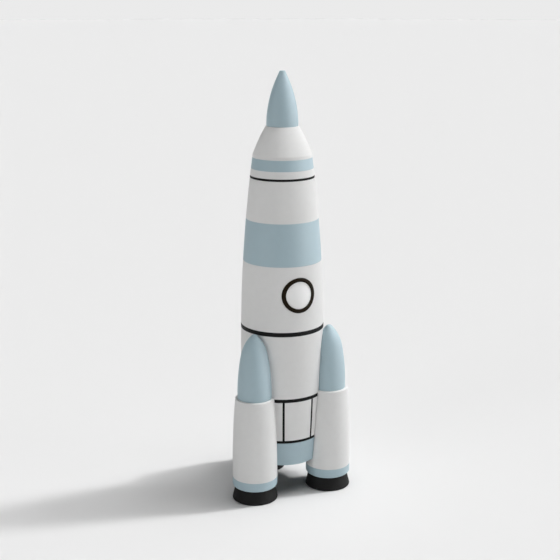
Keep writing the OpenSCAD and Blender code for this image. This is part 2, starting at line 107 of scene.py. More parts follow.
# Soft lights round the object: elevation and bearing in degrees, the bearing from the view's right
# towards its back, then angular size in degrees, and strength. Together they light the floor.
KEY_BEARING = 18
LIGHTS = {
    "key": (51, KEY_BEARING, 5, 0.32),
    "upper_key": (57, KEY_BEARING, 6, 0.13),
    "high": (68, KEY_BEARING, 14, 0.18),
    "top": (81, KEY_BEARING, 49, 0.45),
    "left_fill": (5, -135, 24, 0.22),
    "right_fill": (6, 30, 30, 0.11),
    "front_fill": (4, -20, 10, 0.16),
}
GLOSS_LIGHTS = {"strip": (20, 0, 60, 0.55)}     # seen only as a soft highlight on satin surfaces
FLOOR_SHADE = 0.82
# The lit floor's brightness, which the backdrop has too
PALE = FLOOR_SHADE * sum(
    strength * math.sin(math.radians(rise)) for rise, bearing, width, strength in LIGHTS.values())


def material(name):
    """New material, its shader, and functions that add a node with its inputs and link sockets."""
    made = bpy.data.materials.new(name)
    made.use_nodes = True
    tree = made.node_tree
    shader = next(n for n in tree.nodes if n.type == "BSDF_PRINCIPLED")

    def add(kind, inputs=(), **settings):
        node = tree.nodes.new("ShaderNode" + kind)
        for key, value in settings.items():
            setattr(node, key, value)
        for key, value in dict(inputs).items():
            if isinstance(value, bpy.types.NodeSocket):
                tree.links.new(value, node.inputs[key])
            else:
                node.inputs[key].default_value = value
        return node

    def link(source, socket):
        tree.links.new(source, socket)

    return made, shader, add, link


def stage_piece(name, radius, make, paint, **settings):
    """Floor or backdrop: one bmesh primitive with a plain material."""
    mesh = bpy.data.meshes.new(name)
    shape = bmesh.new()
    make(shape, radius=radius, **settings)
    shape.to_mesh(mesh)
    shape.free()
    mesh.materials.append(paint)
    return link_object(name, mesh)


FLOOR_R = 14.0      # metres; a wider floor and backdrop would be clipped in the other views
floor_paint, shader = material("floor_paint")[:2]
shader.inputs["Base Color"].default_value = (FLOOR_SHADE, FLOOR_SHADE, FLOOR_SHADE, 1)
shader.inputs["Roughness"].default_value = 1.0
shader.inputs["Specular IOR Level"].default_value = 0
floor = stage_piece("floor", FLOOR_R, bmesh.ops.create_circle, floor_paint, cap_ends=True,
                    segments=128, matrix=Matrix.Translation((0, 0, GROUND * MM)))

backdrop_paint, shader = material("backdrop_paint")[:2]
shader.inputs["Base Color"].default_value = (0, 0, 0, 1)
shader.inputs["Specular IOR Level"].default_value = 0
shader.inputs["Emission Color"].default_value = (PALE, PALE, PALE, 1)
shader.inputs["Emission Strength"].default_value = 1
backdrop = stage_piece("backdrop", FLOOR_R, bmesh.ops.create_uvsphere, backdrop_paint,
                       u_segments=64, v_segments=32)
for seen in ("visible_diffuse", "visible_glossy", "visible_transmission", "visible_shadow"):
    setattr(backdrop, seen, False)
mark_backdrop(floor, backdrop)

for name, (rise, bearing, width, strength) in {**LIGHTS, **GLOSS_LIGHTS}.items():
    rise, bearing = math.radians(rise), math.radians(bearing)
    data = bpy.data.lights.new(name, "SUN")
    data.energy = math.pi * strength
    data.angle = math.radians(width)
    towards = (right * math.cos(bearing) + forward * math.sin(bearing)) * math.cos(rise) + Vector(
        (0, 0, math.sin(rise)))
    lamp = link_object(name, data)
    lamp.rotation_mode = "QUATERNION"
    lamp.rotation_quaternion = towards.to_track_quat("Z", "Y")
    lamp.visible_diffuse = name not in GLOSS_LIGHTS

SKY = 0.3           # what glossy surfaces see overhead; it gives no other light
world = bpy.data.worlds.new("studio")
world.use_nodes = True
world.node_tree.nodes["Background"].inputs["Color"].default_value = (SKY, SKY, SKY, 1)
world.cycles_visibility.diffuse = False
bpy.context.scene.world = world

# ------------------------------------------------------------------ materials


def grained(name, colour, roughness, grain, depth, variation, specular=0.5, coat=0.0):
    """Moulded or cast surface: fine grain in the bump, and slow drifts of colour and gloss.

    grain is the size of the grain and depth its height, in millimetres."""
    made, shader, add, link = material(name)
    place = add("TexCoord").outputs["Object"]
    fine = add("TexNoise", {"Vector": place, "Scale": 1 / (grain * MM), "Detail": 3.0,
                             "Roughness": 0.6})
    slow = add("TexNoise", {"Vector": place, "Scale": 38.0, "Detail": 2.0})
    flow = add("TexNoise", {"Vector": place, "Scale": 240.0, "Detail": 4.0, "Roughness": 0.65})
    low = [c * (1 - variation) for c in colour] + [1]
    high = [min(1, c * (1 + variation)) for c in colour] + [1]
    tint = add("Mix", {"Factor": slow.outputs["Fac"], "A": low, "B": high}, data_type="RGBA")
    speck = add("MapRange", {"Value": flow.outputs["Fac"], "From Min": 0.35, "From Max": 0.65,
                             "To Min": 1 - variation, "To Max": 1 + variation * 0.5})
    toned = add("Mix", {"Factor": 1.0, "A": tint.outputs["Result"]}, data_type="RGBA",
                blend_type="MULTIPLY")
    grey = add("CombineColor", {"Red": speck.outputs["Result"], "Green": speck.outputs["Result"],
                                "Blue": speck.outputs["Result"]})
    link(grey.outputs["Color"], toned.inputs["B"])
    link(toned.outputs["Result"], shader.inputs["Base Color"])
    gloss = add("MapRange", {"Value": flow.outputs["Fac"], "From Min": 0.3, "From Max": 0.7,
                             "To Min": roughness - 0.05, "To Max": roughness + 0.07})
    link(gloss.outputs["Result"], shader.inputs["Roughness"])
    bump = add("Bump", {"Height": fine.outputs["Fac"], "Strength": 1.0, "Distance": depth * MM})
    link(bump.outputs["Normal"], shader.inputs["Normal"])
    shader.inputs["Specular IOR Level"].default_value = specular
    shader.inputs["Coat Weight"].default_value = coat
    shader.inputs["Coat Roughness"].default_value = 0.65
    return made


WHITE = grained("white_moulded", (0.80, 0.80, 0.795), roughness=0.5, grain=0.35, depth=0.012,
                variation=0.012, specular=0.05)
PANE = grained("frosted_acrylic", (0.98, 0.98, 0.975), roughness=0.4, grain=0.25, depth=0.006,
               variation=0.008)
BLUE = grained("blue_moulded", (0.364, 0.496, 0.556), roughness=0.62, grain=0.35, depth=0.012,
               variation=0.02, specular=1.0, coat=0.6)
BLACK = grained("black_moulded", (0.006, 0.006, 0.006), roughness=0.5, grain=0.3, depth=0.01,
                variation=0.15, specular=0.12)
RUBBER = grained("foot_rubber", (0.009, 0.009, 0.009), roughness=0.7, grain=0.5, depth=0.04,
                 variation=0.25, specular=0.2)
BRONZE = grained("dark_bronze", (0.012, 0.0065, 0.001), roughness=0.45, grain=0.4, depth=0.012,
                 variation=0.2, specular=0.1)


def turned_metal(name, colour, roughness):
    """Metal with the fine rings that a lathe leaves, and slight stains."""
    made, shader, add, link = material(name)
    place = add("TexCoord").outputs["Object"]
    stretched = add("Mapping", {"Vector": place, "Scale": (900.0, 900.0, 9000.0)})
    rings = add("TexNoise", {"Vector": stretched.outputs["Vector"], "Scale": 1.0, "Detail": 3.0})
    stain = add("TexNoise", {"Vector": place, "Scale": 160.0, "Detail": 3.0})
    low = [c * 0.86 for c in colour] + [1]
    tint = add("Mix", {"Factor": stain.outputs["Fac"], "A": low, "B": list(colour) + [1]},
               data_type="RGBA")
    link(tint.outputs["Result"], shader.inputs["Base Color"])
    gloss = add("MapRange", {"Value": rings.outputs["Fac"], "From Min": 0.3, "From Max": 0.7,
                             "To Min": roughness - 0.08, "To Max": roughness + 0.1})
    link(gloss.outputs["Result"], shader.inputs["Roughness"])
    bump = add("Bump", {"Height": rings.outputs["Fac"], "Strength": 1.0, "Distance": 0.000006})
    link(bump.outputs["Normal"], shader.inputs["Normal"])
    shader.inputs["Metallic"].default_value = 1.0
    return made


STEEL = turned_metal("zinc_steel", (0.60, 0.61, 0.63), 0.32)
BRASS = turned_metal("turned_brass", (0.72, 0.52, 0.22), 0.3)


CARD_RISE = 0.0056      # climb of the card's winding per radian, in metres
SEAM_LINE = 0.0007


def card():
    """Spiral-wound card: fibres, and the seam of the outer ply running round at an angle."""
    made, shader, add, link = material("spiral_card")
    place = add("TexCoord").outputs["Object"]
    parts = add("SeparateXYZ", {"Vector": place})
    turn = add("Math", {0: parts.outputs["Y"], 1: parts.outputs["X"]}, operation="ARCTAN2")
    wound = add("Math", {0: turn.outputs["Value"], 1: CARD_RISE}, operation="MULTIPLY")
    climb = add("Math", {0: parts.outputs["Z"], 1: wound.outputs["Value"]}, operation="ADD")
    strip = add("Math", {0: climb.outputs["Value"], 1: 2 * math.pi * CARD_RISE}, operation="WRAP")
    strip.inputs[2].default_value = 0
    seam = add("MapRange", {"Value": strip.outputs["Value"], "From Min": 0.0, "From Max": SEAM_LINE,
                            "To Min": 0.0, "To Max": 1.0})
    fibre = add("TexNoise", {"Vector": add("Mapping", {"Vector": place, "Scale": (1, 1, 4)}
                                           ).outputs["Vector"],
                             "Scale": 700.0, "Detail": 5.0, "Roughness": 0.7})
    tint = add("Mix", {"Factor": fibre.outputs["Fac"], "A": (0.42, 0.29, 0.17, 1),
                       "B": (0.56, 0.42, 0.27, 1)}, data_type="RGBA")
    dark = add("Mix", {"Factor": seam.outputs["Result"], "A": (0.2, 0.13, 0.07, 1),
                       "B": tint.outputs["Result"]}, data_type="RGBA")
    link(dark.outputs["Result"], shader.inputs["Base Color"])
    height = add("Math", {0: fibre.outputs["Fac"], 1: seam.outputs["Result"]}, operation="ADD")
    bump = add("Bump", {"Height": height.outputs["Value"], "Strength": 1.0, "Distance": 0.00004})
    link(bump.outputs["Normal"], shader.inputs["Normal"])
    shader.inputs["Roughness"].default_value = 0.85
    return made


def plywood():
    """Birch ply: long grain on the faces and dark glue lines across the edge."""
    made, shader, add, link = material("birch_ply")
    place = add("TexCoord").outputs["Object"]
    long = add("Mapping", {"Vector": place, "Scale": (1.0, 14.0, 14.0)})
    grain = add("TexNoise", {"Vector": long.outputs["Vector"], "Scale": 60.0, "Detail": 6.0,
                             "Roughness": 0.62, "Distortion": 0.6})
    tint = add("Mix", {"Factor": grain.outputs["Fac"], "A": (0.44, 0.27, 0.13, 1),
                       "B": (0.68, 0.48, 0.28, 1)}, data_type="RGBA")
    layers = add("TexWave", {"Vector": place, "Scale": 320.0, "Distortion": 0.2, "Detail": 1.0},
                 bands_direction="Z")
    facing = add("SeparateXYZ", {"Vector": add("NewGeometry").outputs["Normal"]})
    flat = add("Math", {0: facing.outputs["Z"]}, operation="ABSOLUTE")
    edge = add("Math", {0: 1.0, 1: flat.outputs["Value"]}, operation="SUBTRACT")
    glue = add("Math", {0: layers.outputs["Fac"], 1: edge.outputs["Value"]}, operation="MULTIPLY")
    dark = add("Mix", {"Factor": glue.outputs["Value"], "A": tint.outputs["Result"],
                       "B": (0.2, 0.11, 0.05, 1)}, data_type="RGBA")
    link(dark.outputs["Result"], shader.inputs["Base Color"])
    bump = add("Bump", {"Height": grain.outputs["Fac"], "Strength": 1.0, "Distance": 0.00003})
    link(bump.outputs["Normal"], shader.inputs["Normal"])
    shader.inputs["Roughness"].default_value = 0.7
    return made


RIPSTOP_GRID, THICK_THREAD = 0.004, 0.0005      # metres


def ripstop():
    """Ripstop nylon: a fine weave with thicker threads in a grid, laid out in the sheet's own map."""
    made, shader, add, link = material("ripstop_nylon")
    place = add("UVMap").outputs["UV"]
    parts = add("SeparateXYZ", {"Vector": place})
    lines = []
    for axis in ("X", "Y"):
        wrapped = add("Math", {0: parts.outputs[axis], 1: RIPSTOP_GRID, 2: 0.0},
                      operation="WRAP")
        lines.append(add("Math", {0: wrapped.outputs["Value"], 1: THICK_THREAD},
                         operation="LESS_THAN"))
    grid = add("Math", {0: lines[0].outputs["Value"], 1: lines[1].outputs["Value"]},
               operation="MAXIMUM")
    waves = [add("TexWave", {"Vector": place, "Scale": 640.0}, bands_direction=axis)
             for axis in ("X", "Y")]
    weave = add("Math", {0: waves[0].outputs["Fac"], 1: waves[1].outputs["Fac"]},
                operation="MAXIMUM")
    tint = add("Mix", {"Factor": grid.outputs["Value"], "A": (0.80, 0.20, 0.03, 1),
                       "B": (0.88, 0.30, 0.07, 1)}, data_type="RGBA")
    link(tint.outputs["Result"], shader.inputs["Base Color"])
    height = add("Math", {0: weave.outputs["Value"], 1: grid.outputs["Value"]}, operation="ADD")
    bump = add("Bump", {"Height": height.outputs["Value"], "Strength": 1.0, "Distance": 0.00003})
    link(bump.outputs["Normal"], shader.inputs["Normal"])
    shader.inputs["Roughness"].default_value = 0.55
    shader.inputs["Sheen Weight"].default_value = 0.3
    return made


CARD, PLY, NYLON = card(), plywood(), ripstop()

# ------------------------------------------------------------------ mesh helpers


def mesh_of(name, verts, faces):
    """Mesh from points in millimetres."""
    mesh = bpy.data.meshes.new(name)
    mesh.from_pydata([(x * MM, y * MM, z * MM) for x, y, z in verts], [], faces)
    return mesh


def soften(shape, sharp):
    """Faces outwards, and smooth shading except across edges sharper than sharp degrees."""
    bmesh.ops.recalc_face_normals(shape, faces=shape.faces)
    limit = math.radians(sharp)
    for face in shape.faces:
        face.smooth = True
    for edge in shape.edges:
        edge.smooth = len(edge.link_faces) == 2 and edge.calc_face_angle(0) < limit


SHARP = 35          # degrees


def build(node, verts, faces, paint, slot, body=AIRFRAME, sharp=SHARP):
    """Piece that takes a CAD node's place, from points in millimetres."""
    mesh = mesh_of(node, verts, faces)
    mesh.validate()
    shape = bmesh.new()
    shape.from_mesh(mesh)
    soften(shape, sharp)
    shape.to_mesh(mesh)
    shape.free()
    made = link_object(node, mesh)
    mesh.materials.append(paint)
    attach(made, body)
    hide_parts(node)
    return made


FILLET_STEPS = 4
SHARE = 0.45        # most of a side that one fillet may take
HOLD = 0.35         # from a fillet to the point that keeps the face beside it flat


def fillet(points, closed=True):
    """Outline from (r, z, radius) corners, each rounded, with a holding point on each side."""
    out = []
    count = len(points)
    for i, point in enumerate(points):
        x, y, radius = (*point, 0)[:3]
        if not radius or (not closed and i in (0, count - 1)):
            out.append((x, y))
            continue
        before, after = points[i - 1], points[(i + 1) % count]
        a, b = Vector((before[0] - x, before[1] - y)), Vector((after[0] - x, after[1] - y))
        la, lb = a.length, b.length
        a, b = a / la, b / lb
        opening = math.acos(max(-1, min(1, a.dot(b))))
        reach = min(radius / math.tan(opening / 2), SHARE * la, SHARE * lb)
        radius = reach * math.tan(opening / 2)
        middle = (a + b).normalized() * (radius / math.sin(opening / 2))
        hold = reach + HOLD
        if hold < 0.5 * la:
            out.append((x + a.x * hold, y + a.y * hold))
        start = Vector((a.x * reach, a.y * reach)) - middle
        end = Vector((b.x * reach, b.y * reach)) - middle
        sweep = math.atan2(start.x * end.y - start.y * end.x, start.dot(end))
        for k in range(FILLET_STEPS + 1):
            t = sweep * k / FILLET_STEPS
            c, s = math.cos(t), math.sin(t)
            out.append((x + middle.x + start.x * c - start.y * s,
                        y + middle.y + start.x * s + start.y * c))
        if hold < 0.5 * lb:
            out.append((x + b.x * hold, y + b.y * hold))
    return out


def turned(x, y, z, turn):
    """Point turned about Z."""
    return (x * math.cos(turn) - y * math.sin(turn), x * math.sin(turn) + y * math.cos(turn), z)


def lathe_data(outline, closed=True, facets=FACETS):
    """Vertices and faces of an outline of (r, z) points turned about Z. An open outline ends on Z."""
    verts, rings = [], []
    for r, z in outline:
        if r < 1e-6:
            rings.append([len(verts)] * facets)
            verts.append((0, 0, z))
            continue
        rings.append(list(range(len(verts), len(verts) + facets)))
        verts += [(r * math.cos(2 * math.pi * k / facets), r * math.sin(2 * math.pi * k / facets), z)
                  for k in range(facets)]
    faces = []
    for low, high in zip(rings, rings[1:] + (rings[:1] if closed else [])):
        for k in range(facets):
            j = (k + 1) % facets
            face = []
            for v in (low[k], low[j], high[j], high[k]):
                if v not in face:
                    face.append(v)
            if len(face) > 2:
                faces.append(face)
    return verts, faces


def lathe(node, outline, paint, slot, body=AIRFRAME, closed=True, facets=FACETS, at=(0, 0)):
    """Turned piece that takes a CAD node's place, about an upright axis through at."""
    verts, faces = lathe_data(outline, closed, facets)
    verts = [(x + at[0], y + at[1], z) for x, y, z in verts]
    return build(node, verts, faces, paint, slot, body)


# Outline of the body: one long arc through its widest station and the shoulder
BODY_R, BELLY_Z, ARC_R = 33.1, 119 + GROUND, 1173.4


def body_r(z, inset=0.0):
    """Radius of the body at a height, or of a wall that runs inset inside it."""
    return BODY_R - ARC_R + math.sqrt((ARC_R - inset) ** 2 - (z - BELLY_Z) ** 2)


def along(low, high, step=4.0):
    """Stations from low to high, about step apart."""
    count = max(1, round((high - low) / step))
    return [low + (high - low) * k / count for k in range(count + 1)]


WALL, GAP = 1.6, 0.05
EDGE, INNER_EDGE = 0.16, 0.1        # fillets of the shells' outer and inner corners
TAIL_ROUND, TAIL_INNER = 1.0, 0.4   # fillets of the tail's lower edge


def shell_outline(low, high):
    """Closed outline of the body's wall between two heights."""
    points = [(body_r(z), z, EDGE if z in (low, high) else 0) for z in along(low, high)]
    points += [(body_r(z, WALL), z, INNER_EDGE if z in (low, high) else 0)
               for z in reversed(along(low, high, 12))]
    return points


# ------------------------------------------------------------------ body shells and rings

for node, paint, slot in (("upper_shell", WHITE, "white_plastic"),
                          ("body_band", BLUE, "blue_plastic"),
                          ("lower_shell", WHITE, "white_plastic"),
                          ("tail_band", BLUE, "blue_plastic")):
    points = shell_outline(*zs(node))
    if node == "tail_band":
        points[0] = (*points[0][:2], TAIL_ROUND)
        points[-1] = (*points[-1][:2], TAIL_INNER)
    lathe(node, fillet(points), paint, slot)


def crowned(low, high, swell, spans):
    """Outer points of a ring whose middle stands swell proud of its edges."""
    middle, half = (low + high) / 2, (high - low) / 2
    return [(body_r(z) + swell * (1 - ((z - middle) / half) ** 2), z,
             EDGE if z in (low, high) else 0) for z in along(low, high, (high - low) / spans)]


# Black rings: the part that shows, with the sleeve that plugs into both neighbours
SLEEVE_L, SLEEVE_T = 6.0, 1.4
for node in ("mid_ring", "bay_ring", "tail_ring"):
    low, high = zs(node)
    low, high = low + SLEEVE_L, high - SLEEVE_L
    top, bottom = high + SLEEVE_L, low - SLEEVE_L
    points = crowned(low, high, 0.1, 6)
    points += [(body_r(high, WALL + GAP), high), (body_r(top, WALL + GAP), top),
               (body_r(top, WALL + SLEEVE_T), top), (body_r(bottom, WALL + SLEEVE_T), bottom),
               (body_r(bottom, WALL + GAP), bottom), (body_r(low, WALL + GAP), low)]
    lathe(node, fillet(points), BLACK, "black_plastic")

BAY_BORE = 20.25
bottom, high = zs("top_ring")
low = bottom + SLEEVE_L
points = crowned(low, high, 0.06, 5)
points += [(BAY_BORE, high, 0.35), (BAY_BORE, low), (body_r(low, WALL + SLEEVE_T), low),
           (body_r(bottom, WALL + SLEEVE_T), bottom), (body_r(bottom, WALL + GAP), bottom),
           (body_r(low, WALL + GAP), low)]
lathe("top_ring", fillet(points), BLACK, "black_plastic")

# ------------------------------------------------------------------ porthole

PORT_Z = sum(zs("porthole_bezel")) / 2
PORT_R, PANE_R, HOLE_R, RECESS = 13.9, 10.8, 12.2, 0.8
SEAT, BEZEL_DEPTH, BEZEL_LIFT = RECESS - 0.02, 3.0, 0.66
PANE_T, PANE_CROWN, PANE_RIM, PANE_STEPS = 1.5, 0.35, -0.1, 12
HOLE_TOP, HOLE_FLOOR = 3, -6        # how far the hole's cutter stands out and reaches in
PORT_FACETS = 144


def wrap(across, up, lift):
    """Point over the body's surface at the porthole: across and up from its centre, lift mm proud."""
    z = PORT_Z + up
    r = body_r(z) + lift
    return (across, -math.sqrt(r * r - across * across), z)


def port_solid(outline, closed):
    """Solid round the porthole's axis from (radius, lift) points, wrapped on the body's surface."""
    verts, faces = lathe_data(outline, closed, PORT_FACETS)
    return [wrap(x, y, lift) for x, y, lift in verts], faces


def cutter(verts, faces):
    """Solid in millimetres that a boolean uses up."""
    mesh = mesh_of("cutter", verts, faces)
    shape = bmesh.new()
    shape.from_mesh(mesh)
    bmesh.ops.recalc_face_normals(shape, faces=shape.faces)
    shape.to_mesh(mesh)
    shape.free()
    return link_object("cutter", mesh)


def cut(piece, tool, operation="DIFFERENCE"):
    """Applies one boolean to a piece and throws the tool away."""
    change = piece.modifiers.new("cut", "BOOLEAN")
    change.operation = operation
    change.solver = "EXACT"
    change.object = tool
    bpy.context.view_layer.update()
    result = bpy.data.meshes.new_from_object(
        piece.evaluated_get(bpy.context.evaluated_depsgraph_get()))
    piece.modifiers.clear()
    old, piece.data = piece.data, result
    result.name = piece.name
    bpy.data.meshes.remove(old)
    bpy.data.objects.remove(tool)


NEAR = 0.03         # how far a corner may stand off a surface and still take its normal
WELD = 2e-6         # metres


def clean(piece, surfaces):
    """Tidies a cut mesh, and gives each corner on a known surface that surface's own normal.

    surfaces holds functions from a point in mm to (distance from the surface, its normal)."""
    mesh = piece.data
    shape = bmesh.new()
    shape.from_mesh(mesh)
    bmesh.ops.remove_doubles(shape, verts=shape.verts, dist=WELD)
    bmesh.ops.dissolve_degenerate(shape, edges=shape.edges, dist=WELD)
    bmesh.ops.triangulate(shape, faces=[f for f in shape.faces if len(f.verts) > 4])
    soften(shape, SHARP)
    shape.to_mesh(mesh)
    shape.free()
    wanted = [Vector(c.vector) for c in mesh.corner_normals]
    for face in mesh.polygons:
        for corner in face.loop_indices:
            point = mesh.vertices[mesh.loops[corner].vertex_index].co / MM
            for surface in surfaces:
                off, normal = surface(point)
                if abs(off) < NEAR and face.normal.dot(normal) > 0.9:
                    wanted[corner] = normal
                    break
    mesh.normals_split_custom_set(wanted)


def body_surface(point):
    """Distance of a point from the body's outside, and the normal there."""
    r = math.hypot(point.x, point.y)
    slope = (point.z - BELLY_Z) / ARC_R
    flat = math.sqrt(1 - slope * slope)
    return r - body_r(point.z), Vector((point.x / r * flat, point.y / r * flat, slope))


window = lathe("window_shell", fillet(shell_outline(*zs("window_shell"))), WHITE, "white_plastic")
hole = port_solid([(0, HOLE_TOP), (PORT_R + GAP, HOLE_TOP), (PORT_R + GAP, -RECESS),
                   (HOLE_R, -RECESS), (HOLE_R, HOLE_FLOOR), (0, HOLE_FLOOR)], False)
cut(window, cutter(*hole))
clean(window, [body_surface])

bezel = [(PANE_R, -BEZEL_DEPTH, 0.1), (PANE_R, BEZEL_LIFT - 0.21, 0.3),
         (PANE_R + 0.8, BEZEL_LIFT - 0.02), (PORT_R - 0.9, BEZEL_LIFT),
         (PORT_R, BEZEL_LIFT - 0.16, 0.4), (PORT_R, -SEAT), (HOLE_R - GAP, -SEAT),
         (HOLE_R - GAP, -BEZEL_DEPTH)]
build("porthole_bezel", *port_solid(fillet(bezel), True), BRONZE, "dark_bezel")
dome = [((PANE_R - GAP) * math.sin(t), PANE_RIM + PANE_CROWN * math.cos(t) ** 2)
        for t in [math.pi / 2 * k / PANE_STEPS for k in range(PANE_STEPS)]]
pane = [*dome, (PANE_R - GAP, PANE_RIM - 0.02, 0.1), (PANE_R - GAP, -PANE_T, 0.1), (0, -PANE_T)]
build("porthole_pane", *port_solid(fillet(pane, False), False), PANE, "white_plastic")

# ------------------------------------------------------------------ engine bay and its seams

SEAM_W, SEAM_ANGLE, GROOVE = 1.75, 22.6, 0.8
SEAMS = [gap + side * SEAM_ANGLE for gap in (270, 30, 150) for side in (-1, 1)]
STATION_TURN, SEAM_CLEAR = 2, 2.2       # degrees between plain stations, and from them to a seam
STRIP_LIFT, STRIP_CROWN, STRIP_FLAT = 0.06, 0.11, 0.4


def bay_shell():
    """Wall of the engine bay with six upright grooves, drawn station by station."""
    low, high = zs("engine_bay_shell")
    half = SEAM_W / 2 + GAP
    ordered = sorted(a % 360 for a in SEAMS)
    stations = []        # (angle in degrees, offset across the groove in mm, depth in mm)
    for i, seam in enumerate(ordered):
        after = (*ordered, ordered[0] + 360)[i + 1]
        stations += [(seam, -half, 0), (seam, -half, GROOVE), (seam, half, GROOVE), (seam, half, 0)]
        count = round((after - seam) / STATION_TURN)
        plain = [seam + (after - seam) * k / count for k in range(1, count)]
        stations += [(turn, 0, 0) for turn in plain if min(turn - seam, after - turn) > SEAM_CLEAR]
    verts, faces = [], []
    outline = fillet(shell_outline(low, high))
    for r, z in outline:
        outside = r > body_r(z, WALL / 2)
        for angle, off, depth in stations:
            cut_r = min(r, body_r(z, depth)) if outside and depth else r
            turn = math.radians(angle) + math.asin(off / cut_r)
            verts.append((cut_r * math.cos(turn), cut_r * math.sin(turn), z))
    row = len(stations)
    for level in range(len(outline)):
        a, b = level * row, (level + 1) % len(outline) * row
        faces += [[a + k, a + (k + 1) % row, b + (k + 1) % row, b + k] for k in range(row)]
    made = build("engine_bay_shell", verts, faces, WHITE, "white_plastic")
    shape = bmesh.new()
    shape.from_mesh(made.data)
    bmesh.ops.remove_doubles(shape, verts=shape.verts, dist=1e-7)
    shape.to_mesh(made.data)
    shape.free()


bay_shell()


def seam_strips():
    """Six black strips in the grooves, each a bar with rounded edges that follows the body."""
    low, high = zs("seam_strips")
    half, edge, deep = SEAM_W / 2, 0.22, GROOVE - 0.02
    section = fillet([(-half, STRIP_LIFT, edge), (-STRIP_FLAT, STRIP_CROWN),
                      (STRIP_FLAT, STRIP_CROWN), (half, STRIP_LIFT, edge),
                      (half, -deep), (-half, -deep)])
    verts, faces = [], []
    for seam in SEAMS:
        turn = math.radians(seam)
        first = len(verts)
        levels = along(low, high, 3)
        for z in levels:
            for off, lift in section:
                r = body_r(z) + lift
                verts.append(turned(math.sqrt(r * r - off * off), off, z, turn))
        n = len(section)
        for level in range(len(levels) - 1):
            a = first + level * n
            faces += [[a + k, a + (k + 1) % n, a + n + (k + 1) % n, a + n + k] for k in range(n)]
        faces.append([first + k for k in range(n)])
        top = first + (len(levels) - 1) * n
        faces.append([top + k for k in reversed(range(n))])
    build("seam_strips", verts, faces, BLACK, "black_plastic")


seam_strips()

# ------------------------------------------------------------------ nose section

NECK = zs("nose_shroud")[1]
CONE_R, TIP_R = 12.35, 1.8
CONE_ARC = ((TIP - NECK) ** 2 + (CONE_R - TIP_R) ** 2) / (2 * (CONE_R - TIP_R))
SPIGOT_R, SPIGOT_L, SPIGOT_T = 10.9, 8.0, 1.2
CONE_FLOOR = 1.5        # height of the cone's hollow above the neck


def cone_r(z):
    """Radius of the nose cone at a height."""
    return CONE_R - CONE_ARC + math.sqrt(CONE_ARC ** 2 - (z - NECK) ** 2)


cone = [(0, TIP), (TIP_R + 0.25, TIP, 0.45)]
cone += [(cone_r(z), z) for z in reversed(along(NECK, TIP, 2.5)[1:-1])]
cone += [(CONE_R, NECK, 0.3), (SPIGOT_R, NECK), (SPIGOT_R, NECK - SPIGOT_L, 0.3),
         (SPIGOT_R - SPIGOT_T, NECK - SPIGOT_L, 0.2), (SPIGOT_R - SPIGOT_T, NECK + CONE_FLOOR),
         (0, NECK + CONE_FLOOR)]
lathe("nose_cone", fillet(cone, False), BLUE, "blue_plastic", body=NOSE, closed=False)

SHOULDER_Z, SHOULDER_R, NECK_R, FLARE = 273 + GROUND, 22.95, 12.85, 150.0
chord = Vector((NECK_R - SHOULDER_R, NECK - SHOULDER_Z))
outwards = Vector((chord.y, -chord.x)).normalized()
flare_centre = Vector(((NECK_R + SHOULDER_R) / 2, (NECK + SHOULDER_Z) / 2)) - outwards * math.sqrt(
    FLARE ** 2 - (chord.length / 2) ** 2)


def shroud_r(z, inset=0.0):
    """Radius of the shroud at a height: the body's arc, then the flare up to the neck."""
    reach = FLARE - inset
    return min(body_r(z, inset), flare_centre.x + math.sqrt(reach ** 2 - (z - flare_centre.y) ** 2))


low = zs("nose_band")[1]
levels = sorted(set(along(low, SHOULDER_Z, 1.2) + along(SHOULDER_Z, NECK, 1.5)))
rounds = {low: EDGE, SHOULDER_Z: 1.5, NECK: 0.6}
points = [(shroud_r(z), z, rounds.get(z, 0)) for z in levels]
points += [(SPIGOT_R + GAP, NECK, 0.1), (SPIGOT_R + GAP, NECK - SPIGOT_L)]
points += [(shroud_r(z, WALL), z) for z in reversed(along(low, NECK - SPIGOT_L - 1, 3))]
lathe("nose_shroud", fillet(points), WHITE, "white_plastic", body=NOSE)

lathe("nose_band", fillet(shell_outline(*zs("nose_band"))), BLUE, "blue_plastic", body=NOSE)

COUPLER_R, COUPLER_T, COLLAR_T = 20.15, 1.2, 1.8
coupler_low, high = zs("nose_collar")
low, band_low = zs("top_ring")[1] + GAP, zs("nose_band")[0]
points = [(body_r(z), z, EDGE if z in (low, band_low) else 0) for z in along(low, band_low, 2)]
points += [(body_r(band_low, WALL + GAP), band_low), (body_r(high, WALL + GAP), high, 0.2),
           (body_r(high, WALL + SLEEVE_T), high, 0.2),
           (body_r(low + COLLAR_T, WALL + SLEEVE_T), low + COLLAR_T),
           (COUPLER_R - COUPLER_T, low + COLLAR_T),
           (COUPLER_R - COUPLER_T, coupler_low, 0.25), (COUPLER_R, coupler_low, 0.5),
           (COUPLER_R, low)]
lathe("nose_collar", fillet(points), WHITE, "white_plastic", body=NOSE)

# ------------------------------------------------------------------ boosters

BOOSTERS = (90, 210, 330)
OFFSET = 37.6
BOOSTER_FACETS, CORE_FACETS = 160, 256      # round a booster, and round the body that cuts it
BOOSTER_R, BOOSTER_BELLY, LIP_R, LIP_Z = 17.85, 24 + GROUND, 15.35, 84.5 + GROUND
BOOSTER_ARC = ((LIP_Z - BOOSTER_BELLY) ** 2 + (BOOSTER_R - LIP_R) ** 2) / (2 * (BOOSTER_R - LIP_R))
NOSE_R, NOSE_BELLY, NOSE_ARC, TIP_ARC, TIP_FLAT = 13.45, 88.5 + GROUND, 167.0, 30.0, 1.6
BOOSTER_TIP = zs("booster_nose_1")[1]
LIP_DROP, LIP_ROUND, TIP_DROP, TIP_ROUND = 1.8, 1.3, 1.2, 1.1


def booster_r(z):
    """Radius of a booster's shell at a height."""
    return BOOSTER_R - BOOSTER_ARC + math.sqrt(BOOSTER_ARC ** 2 - (z - BOOSTER_BELLY) ** 2)


